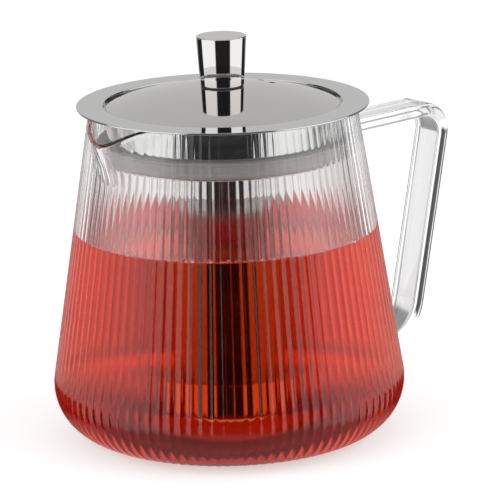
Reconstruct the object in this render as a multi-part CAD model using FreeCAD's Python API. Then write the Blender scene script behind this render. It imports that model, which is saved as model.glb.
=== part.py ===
# Glass teapot: fluted conical jug with a drawn spout and a fused strap handle,
# a lift-out steel strainer hanging in the neck, and a domed steel lid with a knob.
# Millimetres, +Z up. The origin is the centre of the foot on the table.
# The handle points along +X and the spout along -X.

import FreeCAD, Part
import math
import os

# Jug glass
rim_height = 138.2
rim_radius = 54.8
wall_lean = 9.0
wall = 2.6
floor_thickness = 3.6
foot_corner = 22.0
foot_steps = 5
foot_ring_width = 7.0
push_up = 1.2
push_up_run = 5.0

# Flutes on the outside of the glass
flute_count = 100
flute_depth = 0.32
bore_sides = 80

# Spout
spout_height = 25.2
spout_reach = 15.2
spout_width = 51.4
spout_root_width = 23.0
spout_curl = 1.35
spout_steps = 4
spout_smoothing = 4
lip_inset = 3.3
lip_drop = 7.0
cutter_margin = 0.6

# Handle strap
strap_width = 16.4
strap_thickness = 5.8
strap_edge = 1.8
handle_top_drop = 18.4
handle_rise = 1.6
handle_reach = 61.3
handle_lean = 11.6
handle_top_bend = 10.0
handle_foot_height = 21.0
handle_foot_bend = 21.0
weld_length = 6.0
weld_growth = 1.8

# Strainer
sheet = 0.8
flange_radius = 60.0
recess_radius = 49.0
recess_depth = 1.7
collar_inner_radius = 47.0
collar_drop = 19.5
seal_height = 7.0
seal_clearance = 0.6
seal_chamfer = 1.2
seal_lip = 1.3
shoulder_neck_length = 15.0
tube_radius = 21.7
tube_wall = 0.4
cup_wall = 0.6
cup_height = 15.0
cup_floor_height = 11.0

# Lid
lid_clearance = 0.9
dome_rise = 7.7
crown_steps = 3
knob_seat_radius = 9.2
skirt_clearance = 0.5
skirt_drop = 6.0
vent_radius = 1.4
vent_circle = 23.5
vent_spread = 7.4

# Knob and its fastening
knob_foot_radius = 9.0
knob_top_radius = 10.3
knob_height = 20.4
knob_chamfer = 0.5
washer_thickness = 0.4
washer_inset = 0.3
screw_radius = 2.0
screw_clearance = 0.2
screw_engagement = 10.0
knob_bore_spare = 2.0
screw_head_radius = 3.8
screw_head_height = 2.4
driver_slot_width = 1.0
driver_slot_depth = 1.2
screw_washer_radius = 5.0
screw_washer_thickness = 0.8

# Places worked out from the sizes above
lean = math.radians(wall_lean)
neck_radius = rim_radius - wall / math.cos(lean)
spout_start_height = rim_height - spout_height
handle_top_height = rim_height - handle_top_drop
flange_top = rim_height + sheet
ledge_height = flange_top - recess_depth
collar_radius = collar_inner_radius + sheet
seat_height = ledge_height - collar_drop
lid_radius = recess_radius - lid_clearance
dome_edge = ledge_height + sheet
dome_top = dome_edge + dome_rise
knob_foot = dome_top + washer_thickness
Y = FreeCAD.Vector(0, 1, 0)
Z = FreeCAD.Vector(0, 0, 1)
ORIGIN = FreeCAD.Vector(0, 0, 0)


def rz(r, z):
    return FreeCAD.Vector(r, 0, z)


def wall_radius(z):
    return rim_radius + (rim_height - z) * math.tan(lean)


def line(a, b):
    return Part.LineSegment(a, b).toShape()


def turned(edges):
    face = Part.Face(Part.Wire(edges))
    return face.revolve(ORIGIN, Z, 360)


def turned_outline(*points):
    corners = [rz(r, z) for r, z in points]
    return turned([line(a, b) for a, b in zip(corners, corners[1:] + corners[:1])])


# Jug

def corner_centre(offset, radius, base):
    # Centre of the round between the wall, set in by offset, and a base at that height
    reach = wall_radius(base + radius) - offset / math.cos(lean)
    return reach - radius / math.cos(lean)


def spout_share(turn, z):
    # How much of the spout's reach the glass has at a turn and height, from 0 to 1
    rise = (z - spout_start_height) / spout_height
    if rise <= 0:
        return 0
    half_width = (spout_root_width + (spout_width - spout_root_width) * rise) / 2
    away = abs(turn - math.pi) / math.asin(half_width / rim_radius)
    if away >= 1:
        return 0
    return rise ** spout_curl * math.cos(math.pi / 2 * away) ** 2


def section(r, z, corners, hollow):
    # Level outline of the glass, with every other corner set in by the flutes' hollow
    points = []
    for number in range(corners):
        turn = 2 * math.pi * number / corners
        spout = spout_share(turn, z)
        reach = r + spout * spout_reach
        if number % 2:
            reach -= hollow * (1 - spout) ** spout_smoothing
        points.append(FreeCAD.Vector(reach * math.cos(turn), reach * math.sin(turn), z))
    return Part.makePolygon(points + points[:1])


def jug_form(offset, base, corners, depth):
    # Solid inside the wall set in by offset, from its rounded foot up to the rim
    radius = foot_corner - offset
    centre = corner_centre(offset, radius, base)
    sections = []
    for step in range(foot_steps + 1):
        share = step / foot_steps
        tilt = lean - (math.pi / 2 + lean) * (1 - share)
        r = centre + radius * math.cos(tilt)
        z = base + radius * (1 + math.sin(tilt))
        sections.append(section(r, z, corners, depth * share * r / rim_radius))
    for step in range(spout_steps + 1):
        z = spout_start_height + spout_height * step / spout_steps
        r = wall_radius(z) - offset / math.cos(lean)
        sections.append(section(r, z, corners, depth * r / rim_radius))
    return Part.makeLoft(sections, True, True)


def outside_radius(z):
    # Outside of the glass at a height, on the wall or on the rounded foot
    centre = corner_centre(0, foot_corner, 0)
    if z > foot_corner * (1 + math.sin(lean)):
        return wall_radius(z)
    return centre + math.sqrt(foot_corner ** 2 - (z - foot_corner) ** 2)


def lip_wedge():
    # What the slanted lip takes off the top of the spout
    root = rim_radius - lip_inset
    lip_height = rim_height - lip_drop
    tip = wall_radius(lip_height) + spout_reach * spout_share(math.pi, lip_height)
    slope = lip_drop / (tip - root)
    end = rim_radius + spout_reach + cutter_margin
    top = rim_height + cutter_margin
    corners = [(root, rim_height), (end, rim_height - slope * (end - root)), (end, top), (root, top)]
    places = [FreeCAD.Vector(-x, -spout_width, z) for x, z in corners]
    side = Part.Face(Part.makePolygon(places + places[:1]))
    return side.extrude(FreeCAD.Vector(0, 2 * spout_width, 0))


def push_up_hollow():
    # Shallow hollow under the foot, inside the ring that it stands on
    radius = corner_centre(0, foot_corner, 0) - foot_ring_width
    return turned_outline((0, 0), (radius, 0), (radius - push_up_run, push_up), (0, push_up))


def glass_jug():
    outside = jug_form(0, 0, 2 * flute_count, flute_depth)
    inside = jug_form(wall, floor_thickness, bore_sides, 0)
    return outside.cut([inside, lip_wedge(), push_up_hollow()])


# Handle

def strap_section(place, heading, growth):
    # Strap outline with softened edges, square to the heading, larger all round by growth
    wide = FreeCAD.Vector(0, strap_width / 2 + growth, 0)
    thick = FreeCAD.Vector(-heading.z, 0, heading.x) * (strap_thickness / 2 + growth)
    corners = [place + wide + thick, place - wide + thick, place - wide - thick, place + wide - thick]
    outline = []
    for before, corner, after in zip(corners[-1:] + corners[:-1], corners, corners[1:] + corners[:1]):
        outline.append(corner + (before - corner).normalize() * strap_edge)
        outline.append(corner + (after - corner).normalize() * strap_edge)
    return Part.makePolygon(outline + outline[:1])


def strap(points, bends):
    # Straight runs between the points, with each inner corner turned on its bend radius
    solids = []
    start = points[0]
    for before, corner, after, bend in zip(points, points[1:], points[2:], bends):
        heading = (corner - before).normalize()
        leaving = (after - corner).normalize()
        turn = heading.getAngle(leaving)
        enter = corner - heading * (bend * math.tan(turn / 2))
        centre = enter + FreeCAD.Vector(heading.z, 0, -heading.x) * bend
        solids.append(Part.Face(strap_section(start, heading, 0)).extrude(enter - start))
        across = Part.Face(strap_section(enter, heading, 0))
        solids.append(across.revolve(centre, Y, math.degrees(turn)))
        start = corner + leaving * (bend * math.tan(turn / 2))
    solids.append(Part.Face(strap_section(start, leaving, 0)).extrude(points[-1] - start))
    return solids


def weld(place, heading):
    # Glass that flares from the strap on to the wall
    grown = strap_section(place, heading, weld_growth)
    slim = strap_section(place + heading * weld_length, heading, 0)
    return Part.makeLoft([grown, slim], True, True)


def glass_handle(jug):
    top = rz(outside_radius(handle_top_height) - wall / 2, handle_top_height)
    shoulder = rz(rim_radius + handle_reach, handle_top_height + handle_rise)
    fall = shoulder.z - handle_foot_height
    heel = rz(shoulder.x - fall * math.tan(math.radians(handle_lean)), handle_foot_height)
    foot = rz(outside_radius(handle_foot_height) - wall / 2, handle_foot_height)
    solids = strap([top, shoulder, heel, foot], [handle_top_bend, handle_foot_bend])
    solids.append(weld(top, (shoulder - top).normalize()))
    solids.append(weld(foot, (heel - foot).normalize()))
    return solids[0].fuse(solids[1:]).cut(jug)


# Strainer

def strainer_rim():
    return turned_outline(
        (flange_radius, rim_height),
        (flange_radius, flange_top),
        (recess_radius, flange_top),
        (recess_radius, ledge_height),
        (collar_inner_radius, ledge_height),
        (collar_inner_radius, seat_height),
        (collar_radius, seat_height),
        (collar_radius, ledge_height - sheet),
        (recess_radius + sheet, ledge_height - sheet),
        (recess_radius + sheet, rim_height),
    )


def neck_seal():
    outside = neck_radius - seal_clearance
    top = seat_height + seal_height
    return turned_outline(
        (collar_radius, seat_height),
        (outside - seal_chamfer, seat_height),
        (outside, seat_height + seal_chamfer),
        (outside, top),
        (collar_radius, top),
    )


def strainer_shoulder():
    neck = tube_radius + sheet
    under = seat_height - sheet
    return turned_outline(
        (tube_radius, seat_height),
        (tube_radius, seat_height - shoulder_neck_length),
        (neck, seat_height - shoulder_neck_length),
        (neck, under),
        (collar_radius + seal_lip, under),
        (collar_radius + seal_lip, seat_height),
    )


def strainer_tube():
    bottom = cup_floor_height + cup_wall
    top = seat_height
    inside = tube_radius - tube_wall
    return turned_outline((inside, bottom), (tube_radius, bottom), (tube_radius, top), (inside, top))


def strainer_cup():
    outside = tube_radius + cup_wall
    top = cup_floor_height + cup_height
    return turned_outline(
        (0, cup_floor_height),
        (outside - cup_wall, cup_floor_height),
        (outside, cup_floor_height + cup_wall),
        (outside, top),
        (tube_radius, top),
        (tube_radius, cup_floor_height + cup_wall),
        (0, cup_floor_height + cup_wall),
    )


# Lid

def crown(height):
    # Outline of the crowned sheet from the lid's edge up to the knob seat, on one round sweep
    centre = (lid_radius ** 2 - knob_seat_radius ** 2 - dome_rise ** 2) / (-2 * dome_rise)
    sweep_radius = math.hypot(lid_radius, centre)
    points = []
    for step in range(crown_steps + 1):
        r = lid_radius + (knob_seat_radius - lid_radius) * step / crown_steps
        points.append((r, height + centre + math.sqrt(sweep_radius ** 2 - r ** 2)))
    return points


def lid_dome():
    hole = screw_radius + screw_clearance
    seat = [(hole, dome_top), (hole, dome_top - sheet)]
    dome = turned_outline(*crown(dome_edge), *seat, *reversed(crown(ledge_height)))
    reach = math.sqrt(vent_circle ** 2 - (vent_spread / 2) ** 2)
    vents = []
    for side in (-1, 1):
        place = FreeCAD.Vector(reach, side * vent_spread / 2, ledge_height)
        vents.append(Part.makeCylinder(vent_radius, dome_top - ledge_height, place, Z))
    return dome.cut(vents)


def lid_skirt():
    outside = collar_inner_radius - skirt_clearance
    bottom = ledge_height - skirt_drop
    ring = turned_outline(
        (outside - sheet, bottom),
        (outside, bottom),
        (outside, dome_top),
        (outside - sheet, dome_top),
    )
    below = turned_outline((0, bottom), (lid_radius, bottom), *crown(ledge_height), (0, dome_top - sheet))
    return ring.common(below)


def lid_knob():
    bore = screw_engagement + knob_bore_spare
    top = knob_foot + knob_height
    slope = (knob_top_radius - knob_foot_radius) / knob_height
    return turned_outline(
        (screw_radius, knob_foot),
        (knob_foot_radius - knob_chamfer, knob_foot),
        (knob_foot_radius + slope * knob_chamfer, knob_foot + knob_chamfer),
        (knob_top_radius - slope * knob_chamfer, top - knob_chamfer),
        (knob_top_radius - knob_chamfer, top),
        (0, top),
        (0, knob_foot + bore),
        (screw_radius, knob_foot + bore),
    )


def washer(radius, hole, low, thickness):
    high = low + thickness
    return turned_outline((hole, low), (radius, low), (radius, high), (hole, high))


def knob_washer():
    radius = knob_foot_radius - washer_inset
    return washer(radius, screw_radius + screw_clearance, dome_top, washer_thickness)


def screw_washer():
    low = dome_top - sheet - screw_washer_thickness
    return washer(screw_washer_radius, screw_radius + screw_clearance, low, screw_washer_thickness)


def knob_screw():
    seat = dome_top - sheet - screw_washer_thickness
    low = seat - screw_head_height
    tip = knob_foot + screw_engagement
    turned_blank = turned_outline(
        (0, low),
        (screw_head_radius, low),
        (screw_head_radius, seat),
        (screw_radius, seat),
        (screw_radius, tip),
        (0, tip),
    )
    corner = FreeCAD.Vector(-screw_head_radius, -driver_slot_width / 2, low)
    slot = Part.makeBox(2 * screw_head_radius, driver_slot_width, driver_slot_depth, corner)
    return turned_blank.cut(slot)


jug = glass_jug()
pieces = {
    "glass_jug": jug,
    "glass_handle": glass_handle(jug),
    "strainer_rim": strainer_rim(),
    "neck_seal": neck_seal(),
    "strainer_shoulder": strainer_shoulder(),
    "strainer_tube": strainer_tube(),
    "strainer_cup": strainer_cup(),
    "lid_dome": lid_dome(),
    "lid_skirt": lid_skirt(),
    "lid_knob": lid_knob(),
    "knob_washer": knob_washer(),
    "screw_washer": screw_washer(),
    "knob_screw": knob_screw(),
}

os.makedirs("parts", exist_ok=True)
for name, shape in pieces.items():
    shape.exportStep(f"parts/{name}.step")
    print(name, shape.isValid(), len(shape.Solids), round(shape.Volume / 1000, 2), "cm3")
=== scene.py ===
import math
import random

import bpy
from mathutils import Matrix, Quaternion, Vector


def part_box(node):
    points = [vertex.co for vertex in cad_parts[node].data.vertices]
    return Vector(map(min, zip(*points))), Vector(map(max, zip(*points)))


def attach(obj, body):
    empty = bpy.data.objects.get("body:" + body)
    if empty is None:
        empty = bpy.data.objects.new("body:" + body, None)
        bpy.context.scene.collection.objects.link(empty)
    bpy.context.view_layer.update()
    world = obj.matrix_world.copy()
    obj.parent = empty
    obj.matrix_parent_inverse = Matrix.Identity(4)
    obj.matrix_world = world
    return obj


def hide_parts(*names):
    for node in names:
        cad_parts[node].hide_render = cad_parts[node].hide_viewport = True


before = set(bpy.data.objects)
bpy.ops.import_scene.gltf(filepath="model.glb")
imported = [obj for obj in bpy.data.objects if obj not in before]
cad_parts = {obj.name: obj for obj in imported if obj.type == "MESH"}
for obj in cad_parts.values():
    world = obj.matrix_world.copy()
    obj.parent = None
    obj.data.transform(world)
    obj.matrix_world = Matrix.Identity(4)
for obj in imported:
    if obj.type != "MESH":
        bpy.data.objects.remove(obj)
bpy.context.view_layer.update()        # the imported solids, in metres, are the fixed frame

mm = 0.001
upAxis = (0, 0, 1)
middle = (0, 0, 0)


def deselectAll():
    if bpy.context.mode != "OBJECT":
        bpy.ops.object.mode_set(mode="OBJECT")
    bpy.ops.object.select_all(action="DESELECT")


def makeActive(piece):
    deselectAll()
    bpy.context.view_layer.objects.active = piece
    piece.select_set(True)


def applyModifiers(piece):
    makeActive(piece)
    for name in [modifier.name for modifier in piece.modifiers]:
        bpy.ops.object.modifier_apply(modifier=name)


def arcPoints(centre, radius, start, end, steps):    # (r, z) along a round, angles in degrees from level
    points = []
    for step in range(steps + 1):
        turn = math.radians(start + (end - start) * step / steps)
        points.append((centre[0] + radius * math.cos(turn), centre[1] + radius * math.sin(turn)))
    return points


def closeShell():        # in edit mode: doubles and stray edges first, then normals outwards
    bpy.ops.mesh.select_all(action="SELECT")
    bpy.ops.mesh.remove_doubles(threshold=0.002 * mm)
    bpy.ops.mesh.delete_loose(use_verts=True, use_edges=True, use_faces=False)
    bpy.ops.mesh.select_all(action="SELECT")
    bpy.ops.mesh.normals_make_consistent(inside=False)


def turnedPiece(points, steps):    # draws a closed (r, z) outline in mm vertex by vertex, then spins it
    deselectAll()
    bpy.ops.mesh.primitive_plane_add(size=mm, enter_editmode=True)
    piece = bpy.context.object
    bpy.ops.mesh.select_all(action="SELECT")
    bpy.ops.mesh.merge(type="CENTER")
    places = [Vector((r * mm, 0, z * mm)) for r, z in points + points[:1]]
    bpy.ops.transform.translate(value=places[0])
    for here, there in zip(places, places[1:]):
        bpy.ops.mesh.extrude_vertices_move(TRANSFORM_OT_translate={"value": there - here})
    bpy.ops.mesh.select_all(action="SELECT")
    bpy.ops.mesh.spin(steps=steps, angle=2 * math.pi, center=middle, axis=upAxis)
    closeShell()
    bpy.ops.object.mode_set(mode="OBJECT")
    return piece


def soften(piece, width, segments=2, angle=30):    # small rounds along every sharp edge
    bevel = piece.modifiers.new("soft edges", "BEVEL")
    bevel.width = width * mm
    bevel.segments = segments
    bevel.limit_method = "ANGLE"
    bevel.angle_limit = math.radians(angle)
    applyModifiers(piece)


def smooth(piece, angle=40):    # broad faces keep their own direction, so flats stay flat beside small rounds
    makeActive(piece)
    bpy.ops.object.shade_smooth_by_angle(angle=math.radians(angle))
    flats = piece.modifiers.new("true flats", "WEIGHTED_NORMAL")
    flats.keep_sharp = True
    applyModifiers(piece)


def dress(piece, name, material, body, slot, *nodes):    # name, finish, body and the solid it stands for
    piece.name = name
    piece.data.name = name
    piece.data.materials.clear()
    piece.data.materials.append(material)
    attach(piece, body)
    if nodes:
        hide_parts(*nodes)
    print("made", name)


# Finishes

def newMaterial(name):
    material = bpy.data.materials.new(name)
    material.use_nodes = True
    tree = material.node_tree
    return material, tree, tree.nodes["Principled BSDF"]


def newGroup(name, inputs, outputs):    # plain values in, with their defaults, and plain values out
    group = bpy.data.node_groups.new(name, "ShaderNodeTree")
    for label, value in inputs.items():
        socket = group.interface.new_socket(label, in_out="INPUT", socket_type="NodeSocketFloat")
        socket.default_value = value
    for label in outputs:
        group.interface.new_socket(label, in_out="OUTPUT", socket_type="NodeSocketFloat")
    return group, group.nodes.new("NodeGroupInput"), group.nodes.new("NodeGroupOutput")


def mathNode(tree, operation, first, second=None):    # a maths node fed by sockets or plain numbers
    node = tree.nodes.new("ShaderNodeMath")
    node.operation = operation
    for socket, value in zip(node.inputs, (first, second)):
        if isinstance(value, (int, float)):
            socket.default_value = value
        elif value is not None:
            tree.links.new(value, socket)
    return node.outputs[0]


def noiseNode(tree, scale, detail, vector=None):    # noise on the piece's own coordinates
    noise = tree.nodes.new("ShaderNodeTexNoise")
    noise.inputs["Scale"].default_value = scale
    noise.inputs["Detail"].default_value = detail
    if vector is None:
        vector = tree.nodes.new("ShaderNodeTexCoord").outputs["Object"]
    tree.links.new(vector, noise.inputs["Vector"])
    return noise


def smudgeGroup():       # faint cloudy marks that change the gloss a little
    group, given, out = newGroup("smudges", {"Roughness": 0.1, "Amount": 0.05, "Scale": 60}, ["Roughness"])
    cloud = noiseNode(group, 60, 4)
    group.links.new(given.outputs["Scale"], cloud.inputs["Scale"])
    spread = mathNode(group, "SUBTRACT", cloud.outputs["Fac"], 0.5)
    change = mathNode(group, "MULTIPLY", spread, given.outputs["Amount"])
    group.links.new(mathNode(group, "ADD", change, given.outputs["Roughness"]), out.inputs["Roughness"])
    return group


def latheGroup():        # fine rings left by the polishing wheel, as a bump height
    group, given, out = newGroup("lathe rings", {"Rings": 2500}, ["Height"])
    place = group.nodes.new("ShaderNodeTexCoord")
    parts = group.nodes.new("ShaderNodeSeparateXYZ")
    group.links.new(place.outputs["Object"], parts.inputs[0])
    across = mathNode(group, "POWER", parts.outputs["X"], 2)
    along = mathNode(group, "POWER", parts.outputs["Y"], 2)
    radius = mathNode(group, "SQRT", mathNode(group, "ADD", across, along))
    band = group.nodes.new("ShaderNodeCombineXYZ")
    group.links.new(mathNode(group, "MULTIPLY", radius, given.outputs["Rings"]), band.inputs["X"])
    group.links.new(mathNode(group, "MULTIPLY", parts.outputs["Z"], given.outputs["Rings"]), band.inputs["Z"])
    rings = noiseNode(group, 1, 2, band.outputs[0])
    group.links.new(rings.outputs["Fac"], out.inputs["Height"])
    return group


smudges = smudgeGroup()
latheRings = latheGroup()


def addGroup(tree, group, **values):
    node = tree.nodes.new("ShaderNodeGroup")
    node.node_tree = group
    for label, value in values.items():
        node.inputs[label].default_value = value
    return node


def addBump(tree, height, strength, distance, shader):
    bump = tree.nodes.new("ShaderNodeBump")
    bump.inputs["Strength"].default_value = strength
    bump.inputs["Distance"].default_value = distance * mm
    tree.links.new(height, bump.inputs["Height"])
    tree.links.new(bump.outputs["Normal"], shader.inputs["Normal"])


def steelMaterial(name, look):
    material, tree, shader = newMaterial(name)
    shader.inputs["Metallic"].default_value = 1
    shader.inputs["Base Color"].default_value = look["colour"]
    marks = addGroup(tree, smudges, Roughness=look["roughness"], Amount=look["smudge"], Scale=look["marks"])
    tree.links.new(marks.outputs["Roughness"], shader.inputs["Roughness"])
    rings = addGroup(tree, latheRings, Rings=look["rings"])
    addBump(tree, rings.outputs["Height"], look["ringDepth"], 0.02, shader)
    return material


def glassMaterial(name, look):
    material, tree, shader = newMaterial(name)
    shader.inputs["Base Color"].default_value = look["colour"]
    shader.inputs["Metallic"].default_value = 0
    shader.inputs["Transmission Weight"].default_value = 1
    shader.inputs["IOR"].default_value = look["ior"]
    marks = addGroup(tree, smudges, Roughness=look["roughness"], Amount=look["smudge"], Scale=40)
    tree.links.new(marks.outputs["Roughness"], shader.inputs["Roughness"])
    ripple = noiseNode(tree, look["rippleScale"], 1)
    addBump(tree, ripple.outputs["Fac"], look["ripple"], 1, shader)
    return material


steelLooks = {
    "lidSteel": {"colour": (0.66, 0.64, 0.625, 1), "roughness": 0.05, "smudge": 0.03, "marks": 50,
                 "rings": 1500, "ringDepth": 0.15},
    "rimSteel": {"colour": (0.66, 0.655, 0.65, 1), "roughness": 0.05, "smudge": 0.03, "marks": 60,
                 "rings": 1500, "ringDepth": 0.15},
    "knobSteel": {"colour": (0.70, 0.69, 0.68, 1), "roughness": 0.03, "smudge": 0.02, "marks": 120,
                  "rings": 3000, "ringDepth": 0.08},
    "innerSteel": {"colour": (0.62, 0.61, 0.60, 1), "roughness": 0.09, "smudge": 0.05, "marks": 80,
                   "rings": 2000, "ringDepth": 0.2},
    "satinSteel": {"colour": (0.60, 0.59, 0.58, 1), "roughness": 0.22, "smudge": 0.1, "marks": 80,
                   "rings": 2500, "ringDepth": 0.5},
}
glassLooks = {
    "jugGlass": {"colour": (0.985, 0.99, 0.99, 1), "ior": 1.5, "roughness": 0.008,
                 "smudge": 0.01, "rippleScale": 30, "ripple": 0.06},
    "wetGlass": {"colour": (0.985, 0.99, 0.99, 1), "ior": 1.125, "roughness": 0.008,
                 "smudge": 0.01, "rippleScale": 30, "ripple": 0.06},    # from glass into tea, 1.5 to 1.333
    "bubbleFilm": {"colour": (1, 0.97, 0.96, 1), "ior": 1.4, "roughness": 0.02,
                   "smudge": 0.01, "rippleScale": 300, "ripple": 0.05},
    "handleGlass": {"colour": (0.985, 0.985, 0.99, 1), "ior": 1.5, "roughness": 0.008,
                    "smudge": 0.01, "rippleScale": 45, "ripple": 0.08},
}
steels = {name: steelMaterial(name, look) for name, look in steelLooks.items()}
glasses = {name: glassMaterial(name, look) for name, look in glassLooks.items()}


def teaMaterial(name, look):
    material, tree, shader = newMaterial(name)
    shader.inputs["Base Color"].default_value = (1, 1, 1, 1)
    shader.inputs["Metallic"].default_value = 0
    shader.inputs["Transmission Weight"].default_value = 1
    shader.inputs["IOR"].default_value = look["ior"]
    shader.inputs["Alpha"].default_value = look["alpha"]
    shader.inputs["Roughness"].default_value = 0
    absorb = tree.nodes.new("ShaderNodeVolumeAbsorption")
    absorb.inputs["Color"].default_value = look["colour"]
    absorb.inputs["Density"].default_value = look["density"]
    tree.links.new(absorb.outputs[0], tree.nodes["Material Output"].inputs["Volume"])
    return material


def meshMaterial(look):    # fine round holes in rows that lean, worked out round the tube
    material, tree, shader = newMaterial("strainerMesh")
    shader.inputs["Metallic"].default_value = 1
    shader.inputs["Base Color"].default_value = look["colour"]
    marks = addGroup(tree, smudges, Roughness=look["roughness"], Amount=0.1, Scale=90)
    tree.links.new(marks.outputs["Roughness"], shader.inputs["Roughness"])
    place = tree.nodes.new("ShaderNodeTexCoord")
    parts = tree.nodes.new("ShaderNodeSeparateXYZ")
    tree.links.new(place.outputs["Object"], parts.inputs[0])
    turn = mathNode(tree, "ARCTAN2", parts.outputs["Y"], parts.outputs["X"])
    along = mathNode(tree, "MULTIPLY", turn, look["holesRound"])
    rise = mathNode(tree, "MULTIPLY", parts.outputs["Z"], 2 * math.pi / (look["pitch"] * mm))
    leaning = mathNode(tree, "COSINE", mathNode(tree, "ADD", along, rise))
    crossing = mathNode(tree, "COSINE", mathNode(tree, "SUBTRACT", along, rise))
    weave = mathNode(tree, "ADD", leaning, crossing)
    metal = mathNode(tree, "LESS_THAN", weave, look["open"])
    tree.links.new(metal, shader.inputs["Alpha"])
    addBump(tree, weave, 0.1, 0.05, shader)
    return material


def siliconeMaterial(look):
    material, tree, shader = newMaterial("paleSilicone")
    shader.inputs["Base Color"].default_value = look["colour"]
    shader.inputs["Subsurface Weight"].default_value = look["glow"]
    shader.inputs["Subsurface Radius"].default_value = (1, 1, 1)
    shader.inputs["Subsurface Scale"].default_value = look["glowDepth"] * mm
    marks = addGroup(tree, smudges, Roughness=look["roughness"], Amount=0.15, Scale=150)
    tree.links.new(marks.outputs["Roughness"], shader.inputs["Roughness"])
    grain = noiseNode(tree, 900, 2)
    addBump(tree, grain.outputs["Fac"], 0.2, 0.1, shader)
    return material


def rubberMaterial():
    material, tree, shader = newMaterial("blackRubber")
    grain = noiseNode(tree, 1500, 2)
    shade = tree.nodes.new("ShaderNodeValToRGB")
    shade.color_ramp.elements[0].color = (0.012, 0.012, 0.012, 1)
    shade.color_ramp.elements[1].color = (0.035, 0.035, 0.034, 1)
    tree.links.new(grain.outputs["Fac"], shade.inputs["Fac"])
    tree.links.new(shade.outputs["Color"], shader.inputs["Base Color"])
    shader.inputs["Roughness"].default_value = 0.6
    addBump(tree, grain.outputs["Fac"], 0.3, 0.05, shader)
    return material


teaLooks = {
    "teaTop": {"ior": 1.333, "alpha": 1, "colour": (0.968, 0.42, 0.04, 1), "density": 50},
    "teaSide": {"ior": 1.333, "alpha": 0, "colour": (0.968, 0.42, 0.04, 1), "density": 50},
}
meshLook = {"colour": (0.40, 0.39, 0.38, 1), "roughness": 0.1, "holesRound": 85, "pitch": 1.6, "open": 1.1}
siliconeLook = {"colour": (0.80, 0.77, 0.76, 1), "glow": 0.3, "glowDepth": 2, "roughness": 0.45}
teas = {name: teaMaterial(name, look) for name, look in teaLooks.items()}
strainerMesh = meshMaterial(meshLook)
paleSilicone = siliconeMaterial(siliconeLook)
blackRubber = rubberMaterial()
print("finishes ready")


# Glass jug, sizes in mm

teaSizes = {
    "level": 86.2, "meniscus": 0.8, "overlap": 1.2, "steps": 200,
    "bubbleTries": 130, "bubbleRadius": (0.5, 1.7), "bubbleShrink": (0.6, 1), "bubbleTurn": (236, 20),
    "bubbleGap": 0.2, "bubbleStray": 0.5, "bubbleRise": 0.4, "bubbleFoot": 0.05, "bubbleSeed": 7,
}
jugSizes = {
    "rimHeight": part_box("glass_jug")[1][2] / mm, "rimRadius": 54.8, "lean": 9.0,
    "wall": 2.6, "floor": 3.6, "footRound": 22.0, "footRing": 7.0, "pushUp": 1.2, "pushUpRun": 5.0,
    "flutes": 100, "fluteDepth": 0.32, "columnsPerFlute": 8, "fluteFade": 2.0, "spoutSmoothing": 4,
    "footRows": 14, "wallRows": 6, "spoutRows": 14, "rimRows": 6, "poleRadius": 1.0,
    "spoutHeight": 25.2, "spoutReach": 15.2, "spoutWidth": 51.4, "spoutRootWidth": 23.0, "spoutCurl": 1.35,
    "lipDrop": 7.0, "lipWidth": 42.0,
}


def wallRadius(z, inset=0):
    lean = math.radians(jugSizes["lean"])
    return jugSizes["rimRadius"] + (jugSizes["rimHeight"] - z) * math.tan(lean) - inset / math.cos(lean)


def footCentre(inset, base):    # centre and radius of the round between the base and the wall
    radius = jugSizes["footRound"] - inset
    out = wallRadius(base + radius, inset) - radius / math.cos(math.radians(jugSizes["lean"]))
    return (out, base + radius), radius


def footProfile(inset, base):
    centre, radius = footCentre(inset, base)
    return arcPoints(centre, radius, -90, jugSizes["lean"], jugSizes["footRows"])


def wallHeights(low):    # few rows where the wall is plain, many where the spout swells
    size = jugSizes
    start = size["rimHeight"] - size["spoutHeight"]
    top = size["rimHeight"] - size["wall"] / 2
    plain = [low + (start - low) * n / size["wallRows"] for n in range(1, size["wallRows"] + 1)]
    return plain + [start + (top - start) * n / size["spoutRows"] for n in range(1, size["spoutRows"] + 1)]


def waterline():         # where the tea creeps up the glass to
    return teaSizes["level"] + teaSizes["meniscus"]


def jugProfile():        # from the middle underneath, round the outside and the rim, to the floor inside
    size = jugSizes
    foot = footProfile(0, 0)
    inside = footProfile(size["wall"], size["floor"])
    ring = foot[0][0] - size["footRing"]
    points = [(size["poleRadius"], size["pushUp"]), (ring - size["pushUpRun"], size["pushUp"]), (ring, 0)]
    points += foot
    points += [(wallRadius(z), z) for z in wallHeights(foot[-1][1])]
    half = size["wall"] / 2
    top = size["rimHeight"] - half
    points += arcPoints((wallRadius(top, half), top), half, 0, 180, size["rimRows"])[1:-1]
    heights = wallHeights(inside[-1][1]) + [waterline()]    # with a row where the tea ends
    points += [(wallRadius(z, size["wall"]), z) for z in sorted(heights, reverse=True)]
    points += reversed(inside)
    return points + [(size["poleRadius"], size["floor"])]


def riseInSpout(z):
    return min(1, (z - jugSizes["rimHeight"]) / jugSizes["spoutHeight"] + 1)


def spoutShare(away, z):    # how far the spout swells, at an angle from its middle and a height
    size = jugSizes
    rise = riseInSpout(z)
    if rise <= 0:
        return 0
    half = (size["spoutRootWidth"] + (size["spoutWidth"] - size["spoutRootWidth"]) * rise) / 2
    off = away / math.asin(half / size["rimRadius"])
    return rise ** size["spoutCurl"] * math.cos(math.pi / 2 * off) ** 2 if off < 1 else 0


def lipShare(away, z):   # how far the rim dips towards the middle of the spout
    rise = riseInSpout(z)
    off = away / math.asin(jugSizes["lipWidth"] / 2 / jugSizes["rimRadius"])
    return rise * math.cos(math.pi / 2 * off) ** 2 if rise > 0 and off < 1 else 0


def depthInWall(r, z):   # how far a point lies under the outside of the plain cone and its round foot
    centre, radius = footCentre(0, 0)
    if z > centre[1]:
        return wallRadius(z) - r
    if r > centre[0]:
        return radius - math.hypot(r - centre[0], z - centre[1])
    return z


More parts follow.
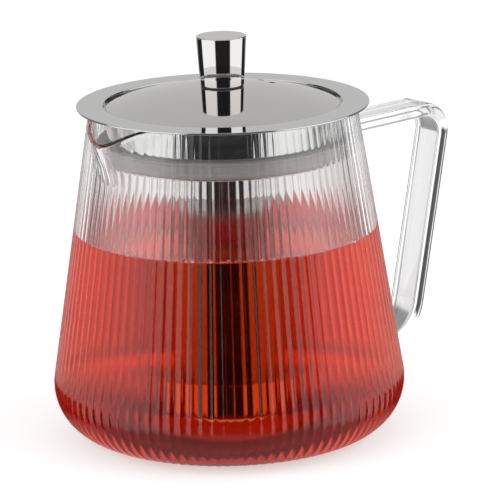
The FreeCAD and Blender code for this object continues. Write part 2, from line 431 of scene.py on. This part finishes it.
def fluteShare(turn, r, z, spout):    # hollow of a flute: none on its ridge, fading at the foot and the spout
    size = jugSizes
    centre, radius = footCentre(0, 0)
    across = turn / (2 * math.pi) * size["flutes"]
    off = abs(across - round(across))
    hollow = 1 - (1 - 2 * off) ** 2
    lowAngle = math.degrees(math.atan2(z - centre[1], r - centre[0])) + 90
    foot = min(1, lowAngle / (90 + size["lean"]) * size["fluteFade"]) if r > centre[0] else 0
    rim = min(1, (size["rimHeight"] - z) / size["wall"])
    return hollow * foot * rim * (1 - spout) ** size["spoutSmoothing"] * r / wallRadius(0)


def pushOut(piece, name, direction, distance, weights):    # moves the vertices by their painted weights
    group = piece.vertex_groups.new(name=name)
    for index, weight in weights.items():
        if weight > 0:
            group.add([index], weight, "REPLACE")
    move = piece.modifiers.new(name, "DISPLACE")
    move.vertex_group = name
    move.direction = direction
    move.strength = distance * mm
    move.mid_level = 0


def makeJug():
    size = jugSizes
    profile = jugProfile()
    deselectAll()
    bpy.ops.mesh.primitive_circle_add(vertices=size["flutes"] * size["columnsPerFlute"],
                                      radius=profile[0][0] * mm, rotation=(0, 0, -math.pi / 2))
    piece = bpy.context.object
    bpy.ops.object.transform_apply(rotation=True)
    bpy.ops.object.mode_set(mode="EDIT")
    bpy.ops.mesh.select_all(action="SELECT")
    bpy.ops.transform.translate(value=(0, 0, profile[0][1] * mm))
    for (r, z), (nextR, nextZ) in zip(profile, profile[1:]):
        bpy.ops.mesh.extrude_region_move(TRANSFORM_OT_translate={"value": (0, 0, (nextZ - z) * mm)})
        bpy.ops.transform.resize(value=(nextR / r, nextR / r, 1), center_override=middle)
    bpy.ops.mesh.merge(type="CENTER")
    bpy.ops.mesh.select_all(action="DESELECT")
    bpy.ops.object.mode_set(mode="OBJECT")
    for vertex in piece.data.vertices:    # the ring in the middle underneath
        x, y, z = vertex.co / mm
        below = z < (size["pushUp"] + size["floor"]) / 2
        vertex.select = below and math.hypot(x, y) < 1.5 * size["poleRadius"]
    bpy.ops.object.mode_set(mode="EDIT")
    bpy.ops.mesh.merge(type="CENTER")
    closeShell()
    bpy.ops.object.mode_set(mode="OBJECT")
    flutes, lip, spout = {}, {}, {}
    for vertex in piece.data.vertices:
        x, y, z = vertex.co / mm
        r = math.hypot(x, y)
        turn = math.atan2(y, x)
        away = math.pi - abs(turn)
        lip[vertex.index] = lipShare(away, z)
        spout[vertex.index] = spoutShare(away, z - lip[vertex.index] * size["lipDrop"])
        if depthInWall(r, z) < size["wall"] / 5:
            flutes[vertex.index] = fluteShare(turn, r, z, spout[vertex.index])
    pushOut(piece, "flutes", "NORMAL", -size["fluteDepth"] * wallRadius(0) / size["rimRadius"], flutes)
    pushOut(piece, "lip", "Z", -size["lipDrop"], lip)
    pushOut(piece, "spout", "X", -size["spoutReach"], spout)
    applyModifiers(piece)
    smooth(piece, 60)
    dress(piece, "jugGlass", glasses["jugGlass"], "jug", "clear_glass", "glass_jug")
    piece.data.materials.append(glasses["wetGlass"])
    for face in piece.data.polygons:    # the inside below the tea's level
        x, y, z = face.center / mm
        deep = depthInWall(math.hypot(x, y), z) > size["wall"] / 2
        inward = face.normal.dot((x, y, z - size["rimHeight"])) < 0
        face.material_index = 1 if deep and inward and z < waterline() else 0


# Handle strap, sizes in mm

handleSizes = {
    "width": 16.4, "thickness": 5.8, "edge": 1.8, "edgeSteps": 5, "bendSteps": 20, "sunk": 1.3,
    "topDrop": 18.4, "rise": 1.6, "reach": 61.3, "lean": 11.6, "topBend": 10.0,
    "footHeight": 21.0, "footBend": 21.0, "weldLength": 6.0, "weldGrowth": 1.8, "weldSteps": 4,
}


def outsideRadius(z):
    centre, radius = footCentre(0, 0)
    if z > centre[1] + radius * math.sin(math.radians(jugSizes["lean"])):
        return wallRadius(z)
    return centre[0] + math.sqrt(radius ** 2 - (z - centre[1]) ** 2)


def runStrap(step):      # carries the strap's end face along a straight run
    bpy.ops.mesh.extrude_region_move(TRANSFORM_OT_translate={"value": step * mm})


def flareStrap(place, heading, start, end):    # welds the strap on to the wall, one end larger
    size = handleSizes
    stride = heading * (size["weldLength"] / size["weldSteps"])
    for step in range(size["weldSteps"]):
        before = start + (end - start) * step / size["weldSteps"]
        after = start + (end - start) * (step + 1) / size["weldSteps"]
        runStrap(stride)
        place = place + stride
        wide, thick = [[1 + 2 * size["weldGrowth"] * share ** 2 / size[side] for share in (before, after)]
                       for side in ("width", "thickness")]
        bpy.ops.transform.resize(value=(1, wide[1] / wide[0], thick[1] / thick[0]),
                                 center_override=place * mm)


def makeHandle():
    size = handleSizes
    topHeight = jugSizes["rimHeight"] - size["topDrop"]
    top = Vector((outsideRadius(topHeight) - size["sunk"], 0, topHeight))
    shoulder = Vector((jugSizes["rimRadius"] + size["reach"], 0, topHeight + size["rise"]))
    fall = (shoulder.z - size["footHeight"]) * math.tan(math.radians(size["lean"]))
    heel = Vector((shoulder.x - fall, 0, size["footHeight"]))
    foot = Vector((outsideRadius(size["footHeight"]) - size["sunk"], 0, size["footHeight"]))
    route = [top, shoulder, heel, foot]
    heading = (shoulder - top).normalized()
    deselectAll()
    bpy.ops.mesh.primitive_plane_add(size=mm, rotation=(0, math.pi / 2, 0), location=top * mm)
    piece = bpy.context.object
    piece.scale = (size["thickness"], size["width"], 1)
    bpy.ops.object.transform_apply(location=True, rotation=True, scale=True)
    bpy.ops.object.mode_set(mode="EDIT")
    bpy.ops.mesh.select_all(action="SELECT")
    bpy.ops.mesh.bevel(affect="VERTICES", offset=size["edge"] * mm, segments=size["edgeSteps"], profile=0.5)
    bpy.ops.mesh.select_all(action="SELECT")
    grow = 2 * size["weldGrowth"]
    bpy.ops.transform.resize(value=(1, 1 + grow / size["width"], 1 + grow / size["thickness"]),
                             center_override=top * mm)
    flareStrap(top, heading, 1, 0)
    start = top + heading * size["weldLength"]
    for before, corner, after, bend in zip(route, route[1:], route[2:], (size["topBend"], size["footBend"])):
        heading = (corner - before).normalized()
        leaving = (after - corner).normalized()
        turn = heading.angle(leaving)
        enter = corner - heading * bend * math.tan(turn / 2)
        centre = enter + Vector((heading.z, 0, -heading.x)) * bend
        runStrap(enter - start)
        bpy.ops.mesh.spin(steps=size["bendSteps"], angle=turn, center=centre * mm, axis=(0, -1, 0))
        start = corner + leaving * bend * math.tan(turn / 2)
    weld = foot - leaving * size["weldLength"]
    runStrap(weld - start)
    flareStrap(weld, leaving, 0, 1)
    closeShell()
    bpy.ops.object.mode_set(mode="OBJECT")
    smooth(piece, 50)
    dress(piece, "handleStrap", glasses["handleGlass"], "jug", "clear_glass", "glass_handle")


makeJug()
makeHandle()


# Tea in the jug

def makeTea():           # its clear side lies inside the glass, so the light bends once, at the wet glass
    size = teaSizes
    inset = jugSizes["wall"] - size["overlap"]
    foot = footProfile(inset, jugSizes["floor"] - size["overlap"])
    side = wallRadius(size["level"], inset)
    bore = wallRadius(size["level"], jugSizes["wall"])
    rise = size["meniscus"]
    points = [(0, foot[0][1])] + foot + [(side, waterline()), (bore, waterline())]
    points += arcPoints((bore - rise, waterline()), rise, 0, -90, 4)[1:]
    points += [(0, size["level"])]
    tea = turnedPiece(points, size["steps"])
    smooth(tea, 50)
    dress(tea, "tea", teas["teaTop"], "jug", "clear_glass")
    tea.data.materials.append(teas["teaSide"])
    for face in tea.data.polygons:    # only the free surface bends and mirrors the light
        free = face.normal.z > 0.2 and math.hypot(face.center.x, face.center.y) < bore * mm
        face.material_index = 0 if free else 1


def makeBubbles():       # froth along the wall: balls that don't touch, each cut off flat where it floats
    size = teaSizes
    chance = random.Random(size["bubbleSeed"])
    bore = wallRadius(size["level"], jugSizes["wall"])
    kept = []
    deselectAll()
    for attempt in range(size["bubbleTries"]):
        radius = chance.uniform(*size["bubbleRadius"]) * chance.uniform(*size["bubbleShrink"])
        turn = math.radians(chance.gauss(*size["bubbleTurn"]))
        out = bore - size["bubbleGap"] - radius - abs(chance.gauss(0, size["bubbleStray"]))
        height = size["level"] + size["bubbleRise"] * radius
        place = Vector((out * math.cos(turn), out * math.sin(turn), height))
        if any((place - other).length < radius + reach for other, reach in kept):
            continue
        bpy.ops.mesh.primitive_uv_sphere_add(segments=12, ring_count=8, radius=radius * mm,
                                             location=place * mm)
        if not kept:
            froth = bpy.context.object
            bpy.ops.object.transform_apply(location=True, rotation=True, scale=True)
            bpy.ops.object.mode_set(mode="EDIT")
            bpy.ops.mesh.select_all(action="SELECT")
        bpy.ops.mesh.bisect(plane_co=(0, 0, (size["level"] + size["bubbleFoot"]) * mm), plane_no=upAxis,
                            use_fill=True, clear_inner=True, threshold=0.001 * mm)
        kept.append((place, radius))
    closeShell()
    bpy.ops.object.mode_set(mode="OBJECT")
    smooth(froth, 60)
    dress(froth, "teaBubbles", glasses["bubbleFilm"], "jug", "clear_glass")


makeTea()
makeBubbles()


# Strainer, sizes in mm

strainerSizes = {
    "flangeTop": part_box("strainer_rim")[1][2] / mm, "sheet": 0.8, "flangeRadius": 60.0,
    "recessRadius": 49.0, "recessDepth": 1.7, "collarInner": 47.0, "collarDrop": 19.5,
    "sealHeight": 7.0, "sealRadius": 51.57, "sealChamfer": 1.2, "sealBead": 0.5, "sealLip": 1.3,
    "neckLength": 15.0, "tubeRadius": 21.7, "tubeWall": 0.4, "cupWall": 0.6, "cupHeight": 15.0,
    "cupFloor": 11.0, "rimEdge": 0.3, "sealEdge": 0.25, "shoulderEdge": 0.25, "cupEdge": 0.2, "steps": 160,
}


def makeRim():
    size = strainerSizes
    top = size["flangeTop"]
    low = top - size["sheet"]
    ledge = top - size["recessDepth"]
    seat = ledge - size["collarDrop"]
    outside = size["collarInner"] + size["sheet"]
    recess = size["recessRadius"] + size["sheet"]
    rim = turnedPiece([
        (size["flangeRadius"], low), (size["flangeRadius"], top), (size["recessRadius"], top),
        (size["recessRadius"], ledge), (size["collarInner"], ledge), (size["collarInner"], seat),
        (outside, seat), (outside, ledge - size["sheet"]), (recess, ledge - size["sheet"]), (recess, low),
    ], size["steps"])
    soften(rim, size["rimEdge"], 3)
    smooth(rim)
    dress(rim, "flangeAndCollar", steels["rimSteel"], "strainer", "polished_steel", "strainer_rim")
    return ledge, seat, outside


def makeSeal(seat, inside):    # band with a small bead along both edges
    size = strainerSizes
    outside = size["sealRadius"]
    bead = size["sealBead"]
    top = seat + size["sealHeight"]
    low = seat + size["sealChamfer"]
    seal = turnedPiece([
        (inside, seat), (outside - size["sealChamfer"], seat), (outside, low),
        (outside, low + 2 * bead), (outside - bead, low + 3 * bead),
        (outside - bead, top - 3 * bead), (outside, top - 2 * bead), (outside, top), (inside, top),
    ], size["steps"])
    soften(seal, size["sealEdge"], 2, 15)
    smooth(seal)
    dress(seal, "neckSeal", paleSilicone, "strainer", "silicone", "neck_seal")


def makeShoulder(seat, collar):
    size = strainerSizes
    inside = size["tubeRadius"]
    neck = inside + size["sheet"]
    low = seat - size["neckLength"]
    lip = collar + size["sealLip"]
    shoulder = turnedPiece([
        (inside, seat), (inside, low), (neck, low), (neck, seat - size["sheet"]),
        (lip, seat - size["sheet"]), (lip, seat),
    ], size["steps"])
    soften(shoulder, size["shoulderEdge"])
    smooth(shoulder)
    dress(shoulder, "strainerShoulder", steels["innerSteel"], "strainer", "satin_steel", "strainer_shoulder")


def makeTube(seat):
    size = strainerSizes
    low = size["cupFloor"] + size["cupWall"]
    outside = size["tubeRadius"]
    inside = outside - size["tubeWall"]
    tube = turnedPiece([(inside, low), (outside, low), (outside, seat), (inside, seat)], size["steps"])
    smooth(tube)
    dress(tube, "strainerTube", strainerMesh, "strainer", "mesh_steel", "strainer_tube")


def makeCup():
    size = strainerSizes
    outside = size["tubeRadius"] + size["cupWall"]
    low = size["cupFloor"]
    top = low + size["cupHeight"]
    cup = turnedPiece([
        (0, low), (outside - size["cupWall"], low), (outside, low + size["cupWall"]), (outside, top),
        (size["tubeRadius"], top), (size["tubeRadius"], low + size["cupWall"]), (0, low + size["cupWall"]),
    ], size["steps"])
    soften(cup, size["cupEdge"])
    smooth(cup)
    dress(cup, "strainerCup", steels["innerSteel"], "strainer", "satin_steel", "strainer_cup")


ledgeHeight, seatHeight, collarRadius = makeRim()
makeSeal(seatHeight, collarRadius)
makeShoulder(seatHeight, collarRadius)
makeTube(seatHeight)
makeCup()


# Lid and knob, sizes in mm

lidSizes = {
    "radius": 48.1, "rise": 7.7, "sheet": 0.8, "knobSeat": 9.2, "hole": 2.2, "crownSteps": 16, "steps": 192,
    "ventRadius": 1.4, "ventCircle": 23.5, "ventSpread": 7.4, "ventSides": 20,
    "edge": 0.3, "knobFoot": 9.0, "knobTop": 10.3, "knobHeight": 20.4, "knobEdge": 0.5, "knobBore": 12.0,
    "screw": 2.0, "washer": 0.4,
}


def crown(height):       # outline of the crowned sheet, from the lid's edge up to the knob's seat
    size = lidSizes
    centre = (size["radius"] ** 2 - size["knobSeat"] ** 2 - size["rise"] ** 2) / (-2 * size["rise"])
    sweep = math.hypot(size["radius"], centre)
    points = []
    for step in range(size["crownSteps"] + 1):
        r = size["radius"] + (size["knobSeat"] - size["radius"]) * step / size["crownSteps"]
        points.append((r, height + centre + math.sqrt(sweep ** 2 - r ** 2)))
    return points


def drillVents(lid, low, top):
    size = lidSizes
    reach = math.sqrt(size["ventCircle"] ** 2 - (size["ventSpread"] / 2) ** 2)
    for side in (-1, 1):
        deselectAll()
        bpy.ops.mesh.primitive_cylinder_add(
            vertices=size["ventSides"], radius=size["ventRadius"] * mm, depth=(top - low) * mm,
            location=(reach * mm, side * size["ventSpread"] / 2 * mm, (low + top) / 2 * mm))
        drill = bpy.context.object
        cut = lid.modifiers.new("vent", "BOOLEAN")
        cut.operation = "DIFFERENCE"
        cut.object = drill
        applyModifiers(lid)
        bpy.data.objects.remove(drill)


def makeLid():
    size = lidSizes
    edge = ledgeHeight + size["sheet"]
    top = edge + size["rise"]
    seat = [(size["hole"], top), (size["hole"], top - size["sheet"])]
    lid = turnedPiece(crown(edge) + seat + crown(ledgeHeight)[::-1], size["steps"])
    soften(lid, size["edge"], 3)
    drillVents(lid, ledgeHeight, top)
    smooth(lid)
    dress(lid, "lidDome", steels["lidSteel"], "lid", "polished_steel", "lid_dome")
    return top


def makeKnob(low):
    size = lidSizes
    top = low + size["knobHeight"]
    knob = turnedPiece([
        (size["screw"], low), (size["knobFoot"], low), (size["knobTop"], top), (0, top),
        (0, low + size["knobBore"]), (size["screw"], low + size["knobBore"]),
    ], size["steps"])
    soften(knob, size["knobEdge"], 4)
    smooth(knob)
    dress(knob, "lidKnob", steels["knobSteel"], "lid", "knob_steel", "lid_knob")


domeTop = makeLid()
makeKnob(domeTop + lidSizes["washer"])
for node, material in {"lid_skirt": steels["satinSteel"], "screw_washer": steels["satinSteel"],
                       "knob_screw": steels["satinSteel"], "knob_washer": blackRubber}.items():
    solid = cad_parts[node]
    solid.data.materials.clear()
    solid.data.materials.append(material)
print("lid and strainer finished")


# Studio: pale floor, white surroundings, a softbox on either side

studio = {
    "cameraAzimuth": -38.0, "cameraElevation": 17.237, "cameraDistance": 1.469, "lens": 252.3,
    "pictureSize": 500, "aimRight": 23.75, "aimDown": -176.28, "roll": -1.292,
    "floorSize": 12.0, "floorColour": (0.86, 0.86, 0.86, 1), "floorGlow": 0.5, "ambient": 0.5,
    "flagTurn": 6.0, "frontFlag": 34.0, "wideFlag": 39.0, "flagSoft": 4.0, "rearFlag": (107.0, 150.0, 167.0),
    "dark": 0.02, "sides": 1.25, "rearWall": 0.63, "ceiling": 0.55, "underneath": 0.4,
    "windowHeights": (0.385, 0.395, 0.47, 0.49), "ceilingHeights": (0.84, 0.92), "underHeights": (0.2, 0.26),
    "glassTurn": -2.5, "glassFlag": (94.0, 130.0), "glassFlagHeights": (0.35, 0.425, 0.6, 0.65),
    "steepGlass": (0.85, 1.25), "steepHeights": (0.24, 0.27, 0.75, 0.8),
    "neckHeights": (0.3625, 0.369, 0.405, 0.4125), "footHeights": (0.405, 0.6),
    "lightBounces": 36, "mirrorBounces": 10,
    "behindTea": ((39, 0.02), (47, 1.25), (140, 1.25), (150, 1.15), (158, 0.7), (165, 0.36), (180, 0.24)),
    "behindNeck": ((39, 0.02), (47, 1.25), (140, 1.1), (151, 0.9), (154, 0.2), (162, 0.2), (165, 0.85),
                   (180, 0.85)),
    "behindFoot": ((39, 0.02), (47, 1.25), (150, 1.25), (159, 1.0), (165, 0.75), (171, 0.5), (180, 0.42)),
    "boxDistance": 0.85, "boxAngle": 69.0, "boxWidth": 1.19, "boxHeight": 1.1, "boxRadiance": 1.2,
}


def studioDirection(turn):    # level direction at an angle to the right of the camera, seen from the teapot
    angle = math.radians(studio["cameraAzimuth"] + turn)
    return Vector((math.sin(angle), -math.cos(angle), 0))


def addCamera():
    elevation = math.radians(studio["cameraElevation"])
    back = studioDirection(0) * math.cos(elevation) + Vector(upAxis) * math.sin(elevation)
    bpy.ops.object.camera_add(location=back * studio["cameraDistance"])
    camera = bpy.context.object
    camera.data.lens = studio["lens"]
    camera.data.clip_end = 50
    focal = studio["lens"] / camera.data.sensor_width * studio["pictureSize"]
    toFoot = (-back).to_track_quat("-Z", "Y")
    ray = Vector((studio["aimRight"] / focal, -studio["aimDown"] / focal, -1))
    aim = (toFoot @ ray).to_track_quat("-Z", "Y")
    camera.rotation_euler = (aim @ Quaternion(upAxis, math.radians(studio["roll"]))).to_euler()
    bpy.context.scene.camera = camera


def addFloor():
    deselectAll()
    bpy.ops.mesh.primitive_plane_add(size=studio["floorSize"])
    floor = bpy.context.object
    floor.name = "studioFloor"
    material, tree, shader = newMaterial("floorPaper")
    shader.inputs["Base Color"].default_value = studio["floorColour"]
    shader.inputs["Roughness"].default_value = 0.9
    shader.inputs["Emission Color"].default_value = (1, 1, 1, 1)
    path = tree.nodes.new("ShaderNodeLightPath")
    glow = mathNode(tree, "MULTIPLY", path.outputs["Is Camera Ray"], studio["floorGlow"])
    tree.links.new(glow, shader.inputs["Emission Strength"])
    floor.data.materials.append(material)
    floor.visible_glossy = False    # gloss and glass see the studio's flags and backdrop below the horizon
    floor.visible_transmission = False


def dotNode(tree, place, direction):
    along = tree.nodes.new("ShaderNodeVectorMath")
    along.operation = "DOT_PRODUCT"
    along.inputs[1].default_value = direction
    tree.links.new(place, along.inputs[0])
    return along.outputs["Value"]


def rampNode(tree, factor, steps):    # grey steps along a factor from 0 to 1
    ramp = tree.nodes.new("ShaderNodeValToRGB")
    tree.links.new(factor, ramp.inputs["Fac"])
    elements = ramp.color_ramp.elements
    for number, (position, grey) in enumerate(steps):
        element = elements[number] if number < 2 else elements.new(position)
        element.position = position
        element.color = (grey, grey, grey, 1)
    return ramp.outputs["Color"]


def stepNode(tree, factor, positions, greys):
    return rampNode(tree, factor, zip(positions, greys))


def mixNode(tree, factor, first, second):
    mix = tree.nodes.new("ShaderNodeMix")
    mix.data_type = "RGBA"
    tree.links.new(factor, mix.inputs["Factor"])
    for socket, value in ((mix.inputs[6], first), (mix.inputs[7], second)):
        if isinstance(value, (int, float)):
            socket.default_value = (value, value, value, 1)
        else:
            tree.links.new(value, socket)
    return mix.outputs[2]


def turnShare(tree, place, turn):    # 0 in front of the teapot, 1 behind it
    across = dotNode(tree, place, studioDirection(90 + turn))
    angle = mathNode(tree, "ARCTAN2", across, dotNode(tree, place, studioDirection(turn)))
    return mathNode(tree, "DIVIDE", mathNode(tree, "ABSOLUTE", angle), math.pi)


def addWorld():          # the eye sees white, while gloss and glass see the flags and boxes of a photo studio
    world = bpy.data.worlds.new("studioWorld")
    bpy.context.scene.world = world
    world.use_nodes = True
    tree = world.node_tree
    tree.nodes.clear()
    path = tree.nodes.new("ShaderNodeLightPath")
    place = tree.nodes.new("ShaderNodeTexCoord").outputs["Generated"]
    height = mathNode(tree, "MULTIPLY_ADD", dotNode(tree, place, Vector(upAxis)), 0.5)
    height.node.inputs[2].default_value = 0.5    # 0 straight down, 1 straight up
    dark, sides, soft = studio["dark"], studio["sides"], studio["flagSoft"] / 180
    flag, wide = studio["frontFlag"] / 180, studio["wideFlag"] / 180

    share = turnShare(tree, place, studio["flagTurn"])    # what gloss sees: flags, a window, the ceiling
    rear = [angle / 180 for angle in studio["rearFlag"]]
    wall = studio["rearWall"]
    front = [(0, dark), (flag, dark), (flag + soft, sides), (rear[0], sides)]
    low = rampNode(tree, share, front + [(rear[0] + soft, dark), (rear[2], dark), (rear[2] + soft, wall)])
    high = rampNode(tree, share, front + [(rear[0] + soft, dark), (rear[1], dark), (rear[1] + soft, wall)])
    window = rampNode(tree, share, [(0, dark), (wide, dark), (wide + soft, sides), (rear[0], sides),
                                    (rear[0] + soft, wall)])
    windowHeights, underHeights = studio["windowHeights"], studio["underHeights"]
    mirrored = mixNode(tree, stepNode(tree, height, windowHeights[:2], (0, 1)), low, window)
    mirrored = mixNode(tree, stepNode(tree, height, windowHeights[2:], (0, 1)), mirrored, high)
    ceiling = stepNode(tree, height, studio["ceilingHeights"], (0, 1))
    mirrored = mixNode(tree, ceiling, mirrored, studio["ceiling"])
    mirrored = mixNode(tree, stepNode(tree, height, underHeights, (1, 0)), mirrored, studio["underneath"])

    share = turnShare(tree, place, studio["glassTurn"])    # what shows through glass and tea
    rear = [angle / 180 for angle in studio["glassFlag"]]
    tea, neck, foot = [rampNode(tree, share, [(angle / 180, grey) for angle, grey in studio[name]])
                       for name in ("behindTea", "behindNeck", "behindFoot")]
    behind = mixNode(tree, stepNode(tree, height, studio["footHeights"], (0, 1)), tea, foot)
    behind = mixNode(tree, stepNode(tree, height, studio["neckHeights"], (0, 1, 1, 0)), behind, neck)
    beside = stepNode(tree, share, (rear[0], rear[0] + soft, rear[1], rear[1] + soft), (0, 1, 1, 0))
    standing = stepNode(tree, height, studio["glassFlagHeights"], (0, 1, 1, 0))
    through = mixNode(tree, mathNode(tree, "MULTIPLY", beside, standing), behind, dark)
    steep = stepNode(tree, height, studio["steepHeights"], (1, 0, 0, 1))
    through = mixNode(tree, steep, through, stepNode(tree, height, (0.4, 0.6), studio["steepGlass"]))

    colour = mixNode(tree, path.outputs["Is Glossy Ray"], studio["ambient"], mirrored)
    colour = mixNode(tree, path.outputs["Is Transmission Ray"], colour, through)
    colour = mixNode(tree, path.outputs["Is Camera Ray"], colour, 1)
    background = tree.nodes.new("ShaderNodeBackground")
    tree.links.new(colour, background.inputs["Color"])
    output = tree.nodes.new("ShaderNodeOutputWorld")
    tree.links.new(background.outputs[0], output.inputs["Surface"])


def addSoftboxes():
    area = studio["boxWidth"] * studio["boxHeight"]
    for side in (-1, 1):
        out = studioDirection(studio["flagTurn"] + side * studio["boxAngle"])
        spot = out * studio["boxDistance"] + Vector(upAxis) * (studio["boxHeight"] / 2)
        bpy.ops.object.light_add(type="AREA", location=spot)
        lamp = bpy.context.object
        lamp.rotation_euler = (-out).to_track_quat("-Z", "Y").to_euler()
        lamp.data.shape = "RECTANGLE"
        lamp.data.size = studio["boxWidth"]
        lamp.data.size_y = studio["boxHeight"]
        lamp.data.energy = studio["boxRadiance"] * math.pi * area
        lamp.visible_camera = False
        lamp.visible_glossy = False    # gloss and glass see the painted studio instead
        lamp.visible_transmission = False


deselectAll()
light = bpy.context.scene.cycles    # light goes on through all walls of glass and tea
light.max_bounces = light.transmission_bounces = light.transparent_max_bounces = studio["lightBounces"]
light.glossy_bounces = studio["mirrorBounces"]    # few, so the wall's edge doesn't carry the tea's red up
addCamera()
addFloor()
addWorld()
addSoftboxes()
bpy.context.scene.view_settings.view_transform = "Standard"
print("studio ready")
